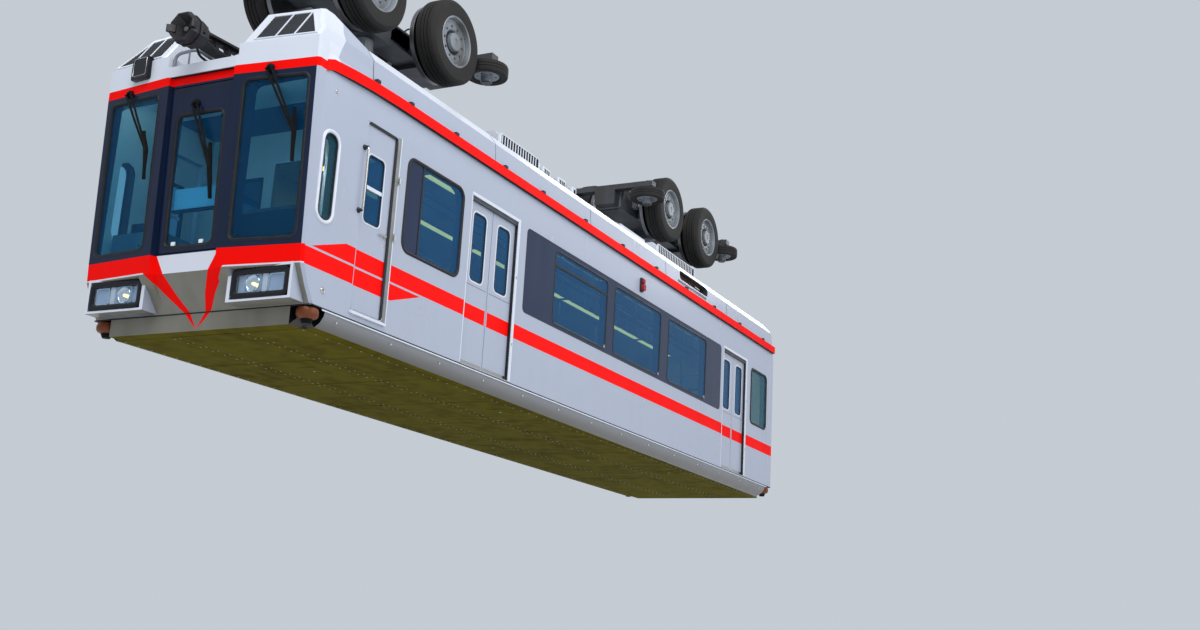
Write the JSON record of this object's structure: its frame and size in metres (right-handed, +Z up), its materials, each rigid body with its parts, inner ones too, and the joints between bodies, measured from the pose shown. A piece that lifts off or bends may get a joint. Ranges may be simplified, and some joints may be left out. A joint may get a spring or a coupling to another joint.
{
  "type": "suspended monorail car",
  "caption": "Driving car of a suspended monorail: hollow passenger body hung from rubber-tyred bogies that run inside a slotted box beam.",
  "frame": {"origin": "on the beam's running plane, under the running tyres, midway between the bogies on the centre line", "axes": "+X forward towards the cab, +Y to the car's left, +Z up; the body hangs below the origin"},
  "size_m": [13.271, 2.704, 4.58],
  "materials": {
    "body_paint": "light blue-grey gloss enamel with red bands",
    "belly_paint": "satin grey-olive belly panels",
    "mask_paint": "dark navy gloss with white and red bands",
    "white_paint": "white satin enamel",
    "window_glass": "tinted safety glass",
    "lamp_plastic": "black bezel, clear lens",
    "cast_steel": "black-painted casting",
    "steel_paint": "grey machinery enamel",
    "gear_paint": "dark grey machinery enamel with dust",
    "tyre_rubber": "black rubber on steel discs",
    "roller_urethane": "amber polyurethane",
    "interior_panel": "cream laminate",
    "desk_plastic": "dark grained plastic",
    "seat_fabric": "red moquette"
  },
  "bodies": {
    "root": {"underframe": "belly_paint", "roof": "body_paint", "rear_wall": "body_paint", "front_mask": "mask_paint", "roof_crown": "white_paint", "coupler_front": "cast_steel", "drawbar_rear": "cast_steel", "air_conditioner_front": "white_paint", "air_conditioner_rear": "white_paint", "roof_cases": "white_paint", "cab_bulkhead": "interior_panel", "driver_desk": "desk_plastic", "side_wall_left": "body_paint", "windscreen_left": "window_glass", "headlamp_left": "lamp_plastic", "window_band_left": "window_glass", "pocket_window_left": "window_glass", "rear_window_left": "window_glass", "seat_left": "seat_fabric", "side_wall_right": "body_paint", "windscreen_right": "window_glass", "headlamp_right": "lamp_plastic", "window_band_right": "window_glass", "pocket_window_right": "window_glass", "rear_window_right": "window_glass", "seat_right": "seat_fabric", "hanger_front": "steel_paint", "hanger_rear": "steel_paint"},
    "crew_door_left": {"crew_door_left": "body_paint"},
    "door_front_left_fore": {"door_front_left_fore": "body_paint"},
    "door_front_left_aft": {"door_front_left_aft": "body_paint"},
    "door_rear_left_fore": {"door_rear_left_fore": "body_paint"},
    "door_rear_left_aft": {"door_rear_left_aft": "body_paint"},
    "roller_front_left": {"roller_front_left": "roller_urethane"},
    "roller_rear_left": {"roller_rear_left": "roller_urethane"},
    "crew_door_right": {"crew_door_right": "body_paint"},
    "door_front_right_fore": {"door_front_right_fore": "body_paint"},
    "door_front_right_aft": {"door_front_right_aft": "body_paint"},
    "door_rear_right_fore": {"door_rear_right_fore": "body_paint"},
    "door_rear_right_aft": {"door_rear_right_aft": "body_paint"},
    "roller_front_right": {"roller_front_right": "roller_urethane"},
    "roller_rear_right": {"roller_rear_right": "roller_urethane"},
    "end_door": {"end_door": "body_paint"},
    "emergency_door": {"emergency_door": "mask_paint"},
    "bogie_front": {"bogie_frame_front": "gear_paint"},
    "wheelset_front_fore": {"wheelset_front_fore": "tyre_rubber"},
    "guide_wheel_front_fore_left": {"guide_wheel_front_fore_left": "tyre_rubber"},
    "guide_wheel_front_fore_right": {"guide_wheel_front_fore_right": "tyre_rubber"},
    "wheelset_front_aft": {"wheelset_front_aft": "tyre_rubber"},
    "guide_wheel_front_aft_left": {"guide_wheel_front_aft_left": "tyre_rubber"},
    "guide_wheel_front_aft_right": {"guide_wheel_front_aft_right": "tyre_rubber"},
    "bogie_rear": {"bogie_frame_rear": "gear_paint"},
    "wheelset_rear_fore": {"wheelset_rear_fore": "tyre_rubber"},
    "guide_wheel_rear_fore_left": {"guide_wheel_rear_fore_left": "tyre_rubber"},
    "guide_wheel_rear_fore_right": {"guide_wheel_rear_fore_right": "tyre_rubber"},
    "wheelset_rear_aft": {"wheelset_rear_aft": "tyre_rubber"},
    "guide_wheel_rear_aft_left": {"guide_wheel_rear_aft_left": "tyre_rubber"},
    "guide_wheel_rear_aft_right": {"guide_wheel_rear_aft_right": "tyre_rubber"}
  },
  "joints": [
    {"name": "crew_door_left_hinge", "type": "hinge", "parent": "root", "child": "crew_door_left", "pos_m": [5.367, 1.27, -2.3615], "axis": [0, 0, 1], "range_deg": [0, 85]},
    {"name": "door_front_left_fore_slide", "type": "slide", "parent": "root", "child": "door_front_left_fore", "axis": [1, 0, 0], "range_m": [0, 0.47]},
    {"name": "door_front_left_aft_slide", "type": "slide", "parent": "root", "child": "door_front_left_aft", "axis": [1, 0, 0], "range_m": [-0.47, 0]},
    {"name": "door_rear_left_fore_slide", "type": "slide", "parent": "root", "child": "door_rear_left_fore", "axis": [1, 0, 0], "range_m": [0, 0.47]},
    {"name": "door_rear_left_aft_slide", "type": "slide", "parent": "root", "child": "door_rear_left_aft", "axis": [1, 0, 0], "range_m": [-0.47, 0]},
    {"name": "roller_front_left_spin", "type": "hinge", "parent": "root", "child": "roller_front_left", "pos_m": [5.865, 1.225, -3.471], "axis": [0, 0, 1], "continuous": true},
    {"name": "roller_rear_left_spin", "type": "hinge", "parent": "root", "child": "roller_rear_left", "pos_m": [-6.24, 1.225, -3.471], "axis": [0, 0, 1], "continuous": true},
    {"name": "crew_door_right_hinge", "type": "hinge", "parent": "root", "child": "crew_door_right", "pos_m": [5.367, -1.27, -2.3615], "axis": [0, 0, -1], "range_deg": [0, 85]},
    {"name": "door_front_right_fore_slide", "type": "slide", "parent": "root", "child": "door_front_right_fore", "axis": [1, 0, 0], "range_m": [0, 0.47]},
    {"name": "door_front_right_aft_slide", "type": "slide", "parent": "root", "child": "door_front_right_aft", "axis": [1, 0, 0], "range_m": [-0.47, 0]},
    {"name": "door_rear_right_fore_slide", "type": "slide", "parent": "root", "child": "door_rear_right_fore", "axis": [1, 0, 0], "range_m": [0, 0.47]},
    {"name": "door_rear_right_aft_slide", "type": "slide", "parent": "root", "child": "door_rear_right_aft", "axis": [1, 0, 0], "range_m": [-0.47, 0]},
    {"name": "roller_front_right_spin", "type": "hinge", "parent": "root", "child": "roller_front_right", "pos_m": [5.865, -1.225, -3.471], "axis": [0, 0, 1], "continuous": true},
    {"name": "roller_rear_right_spin", "type": "hinge", "parent": "root", "child": "roller_rear_right", "pos_m": [-6.24, -1.225, -3.471], "axis": [0, 0, 1], "continuous": true},
    {"name": "end_door_hinge", "type": "hinge", "parent": "root", "child": "end_door", "pos_m": [-6.315, -0.34, -2.42], "axis": [0, 0, -1], "range_deg": [0, 90]},
    {"name": "emergency_door_hinge", "type": "hinge", "parent": "root", "child": "emergency_door", "pos_m": [6.2188, -0.3705, -2.0475], "axis": [-0.0448, 0, -0.999], "range_deg": [0, 85]},
    {"name": "bogie_front_swivel", "type": "hinge", "parent": "root", "child": "bogie_front", "pos_m": [3.9, 0, 0.5], "axis": [0, 0, 1], "range_deg": [-5, 5]},
    {"name": "wheelset_front_fore_spin", "type": "hinge", "parent": "bogie_front", "child": "wheelset_front_fore", "pos_m": [4.65, 0, 0.5], "axis": [0, 1, 0], "continuous": true},
    {"name": "guide_wheel_front_fore_left_spin", "type": "hinge", "parent": "bogie_front", "child": "guide_wheel_front_fore_left", "pos_m": [5.44, 0.69, 0.465], "axis": [0, 0, 1], "continuous": true},
    {"name": "guide_wheel_front_fore_right_spin", "type": "hinge", "parent": "bogie_front", "child": "guide_wheel_front_fore_right", "pos_m": [5.44, -0.69, 0.465], "axis": [0, 0, 1], "continuous": true},
    {"name": "wheelset_front_aft_spin", "type": "hinge", "parent": "bogie_front", "child": "wheelset_front_aft", "pos_m": [3.15, 0, 0.5], "axis": [0, 1, 0], "continuous": true},
    {"name": "guide_wheel_front_aft_left_spin", "type": "hinge", "parent": "bogie_front", "child": "guide_wheel_front_aft_left", "pos_m": [2.36, 0.69, 0.465], "axis": [0, 0, 1], "continuous": true},
    {"name": "guide_wheel_front_aft_right_spin", "type": "hinge", "parent": "bogie_front", "child": "guide_wheel_front_aft_right", "pos_m": [2.36, -0.69, 0.465], "axis": [0, 0, 1], "continuous": true},
    {"name": "bogie_rear_swivel", "type": "hinge", "parent": "root", "child": "bogie_rear", "pos_m": [-3.9, 0, 0.5], "axis": [0, 0, 1], "range_deg": [-5, 5]},
    {"name": "wheelset_rear_fore_spin", "type": "hinge", "parent": "bogie_rear", "child": "wheelset_rear_fore", "pos_m": [-3.15, 0, 0.5], "axis": [0, 1, 0], "continuous": true},
    {"name": "guide_wheel_rear_fore_left_spin", "type": "hinge", "parent": "bogie_rear", "child": "guide_wheel_rear_fore_left", "pos_m": [-2.36, 0.69, 0.465], "axis": [0, 0, 1], "continuous": true},
    {"name": "guide_wheel_rear_fore_right_spin", "type": "hinge", "parent": "bogie_rear", "child": "guide_wheel_rear_fore_right", "pos_m": [-2.36, -0.69, 0.465], "axis": [0, 0, 1], "continuous": true},
    {"name": "wheelset_rear_aft_spin", "type": "hinge", "parent": "bogie_rear", "child": "wheelset_rear_aft", "pos_m": [-4.65, 0, 0.5], "axis": [0, 1, 0], "continuous": true},
    {"name": "guide_wheel_rear_aft_left_spin", "type": "hinge", "parent": "bogie_rear", "child": "guide_wheel_rear_aft_left", "pos_m": [-5.44, 0.69, 0.465], "axis": [0, 0, 1], "continuous": true},
    {"name": "guide_wheel_rear_aft_right_spin", "type": "hinge", "parent": "bogie_rear", "child": "guide_wheel_rear_aft_right", "pos_m": [-5.44, -0.69, 0.465], "axis": [0, 0, 1], "continuous": true}
  ],
  "couplings": [
    {"joint": "door_front_left_aft_slide", "follows": "door_front_left_fore_slide", "ratio": -1},
    {"joint": "door_rear_left_aft_slide", "follows": "door_rear_left_fore_slide", "ratio": -1},
    {"joint": "door_front_right_aft_slide", "follows": "door_front_right_fore_slide", "ratio": -1},
    {"joint": "door_rear_right_aft_slide", "follows": "door_rear_right_fore_slide", "ratio": -1}
  ]
}
